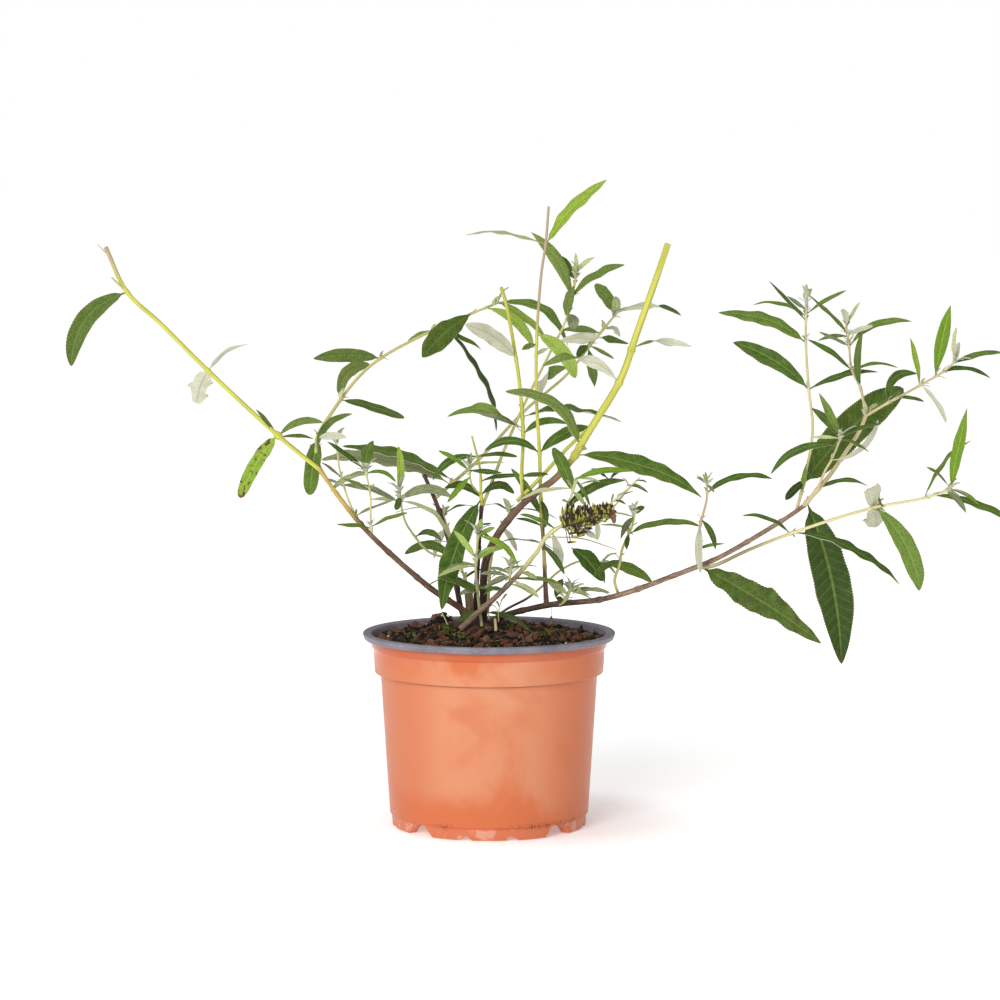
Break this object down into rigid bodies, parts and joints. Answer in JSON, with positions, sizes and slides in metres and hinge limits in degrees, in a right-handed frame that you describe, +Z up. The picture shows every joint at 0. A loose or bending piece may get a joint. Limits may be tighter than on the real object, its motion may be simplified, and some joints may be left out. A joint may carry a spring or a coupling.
{
  "type": "butterfly bush in a pot",
  "caption": "Young butterfly bush with long arching stems, narrow willow-like leaves and a spent flower spike, standing in a plastic nursery pot.",
  "frame": {"origin": "under the middle of the whole plant's box, on the level that the pot's feet stand on", "axes": "+Z up, +X along the widest spread of the branches, towards the longer right side, +Y to the back"},
  "size_m": [0.62, 0.2284, 0.4359],
  "materials": {
    "pot_outside": "satin terracotta plastic, faintly hazed and scuffed",
    "pot_inside": "satin grey plastic of the rim and the inside",
    "potting_mix": "dark peat with bark chips",
    "bark": "thin brown bark, finely ridged",
    "green_stem": "smooth yellow-green young stem",
    "leaf": "matt dark green, veined",
    "leaf_felt": "pale grey-green felt of the leaf's underside",
    "seed_head": "dry dark seed capsules"
  },
  "bodies": {
    "root": {"pot": "pot_outside", "potting_mix": "potting_mix", "root_crown": "bark", "old_stump": "bark", "left_bough": "bark", "dark_snag": "bark", "upright_bough": "bark", "middle_bough": "bark", "front_bough": "bark", "right_bough": "bark", "back_bough": "bark", "left_outer_shoot": "leaf", "left_arching_shoot": "leaf", "left_low_twig": "leaf", "left_high_twig": "leaf", "left_inner_shoot": "leaf", "long_arching_shoot": "leaf", "back_shoot": "leaf", "upright_shoot": "leaf", "tall_cut_shoot": "leaf", "inner_shoot": "leaf", "tall_dry_shoot": "leaf", "front_spike_shoot": "leaf", "front_sprout": "leaf", "pale_young_shoot": "leaf", "low_back_twig": "leaf", "back_left_shoot": "leaf", "back_right_shoot": "leaf", "low_right_twig": "leaf", "pale_low_twig": "leaf", "upright_right_twig": "leaf", "low_right_shoot": "leaf", "right_forked_shoot": "leaf", "right_upright_shoot": "leaf"}
  },
  "joints": []
}
